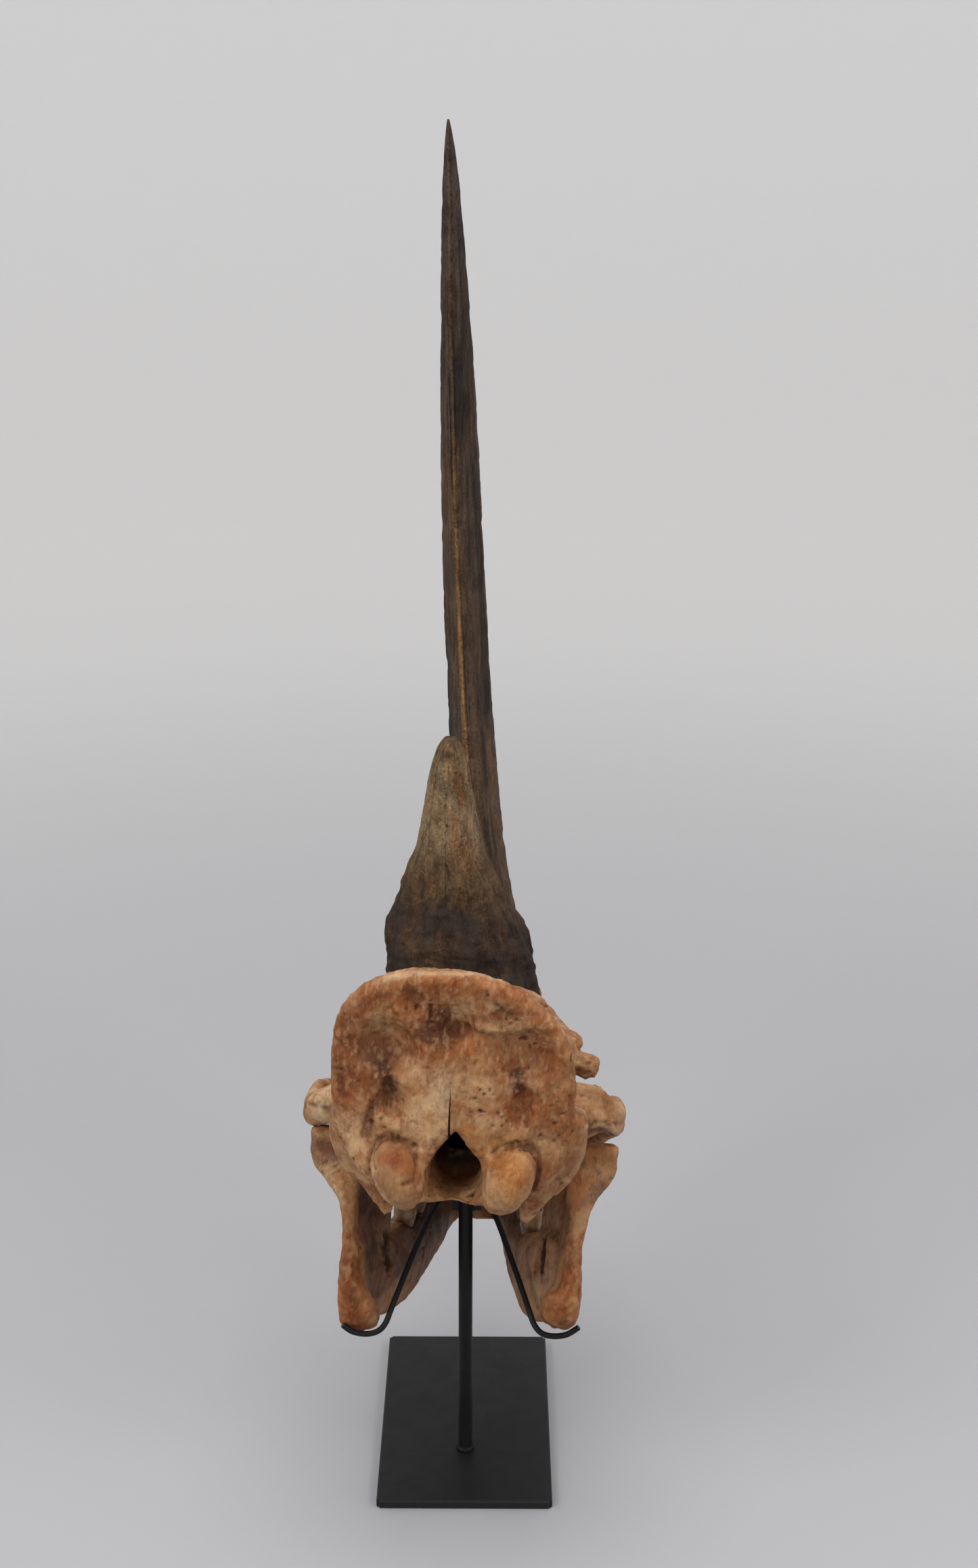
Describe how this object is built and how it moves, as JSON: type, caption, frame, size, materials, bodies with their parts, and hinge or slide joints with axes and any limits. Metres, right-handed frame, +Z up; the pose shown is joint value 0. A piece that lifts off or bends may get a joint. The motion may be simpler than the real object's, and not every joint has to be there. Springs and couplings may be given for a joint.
{
  "type": "woolly rhinoceros skull",
  "caption": "Ice-age woolly rhinoceros skull with its lower jaw, tall blade-like nose horn and shorter brow horn, held nose-down on a plate-and-post display stand.",
  "frame": {"origin": "centre of the base plate's underside", "axes": "+Z up, +Y from the back of the skull towards its nose, +X towards the animal's right side"},
  "size_m": [0.3562, 0.8171, 1.5082],
  "materials": {
    "bone": "weathered bone, orange-brown to cream, satin",
    "jaw_bone": "weathered bone, tan with purplish brown, satin",
    "enamel": "worn tooth enamel over dentine",
    "nasal_horn": "fibrous dark brown horn",
    "frontal_horn": "fibrous horn, olive-tan tip over a grey-brown skirt",
    "black_steel": "satin black"
  },
  "bodies": {
    "root": {"cranium": "bone", "mandible": "jaw_bone", "nasal_horn": "nasal_horn", "frontal_horn": "frontal_horn", "upper_left_p2": "enamel", "upper_left_p3": "enamel", "upper_left_p4": "enamel", "upper_left_m1": "enamel", "upper_left_m2": "enamel", "upper_left_m3": "enamel", "upper_right_p2": "enamel", "upper_right_p3": "enamel", "upper_right_p4": "enamel", "upper_right_m1": "enamel", "upper_right_m2": "enamel", "upper_right_m3": "enamel", "lower_left_p2": "enamel", "lower_left_p3": "enamel", "lower_left_p4": "enamel", "lower_left_m1": "enamel", "lower_left_m2": "enamel", "lower_left_m3": "enamel", "lower_right_p2": "enamel", "lower_right_p3": "enamel", "lower_right_p4": "enamel", "lower_right_m1": "enamel", "lower_right_m2": "enamel", "lower_right_m3": "enamel", "base_plate": "black_steel", "post": "black_steel", "skull_rest": "black_steel", "bracket": "black_steel", "left_cradle": "black_steel", "right_cradle": "black_steel"}
  },
  "joints": []
}
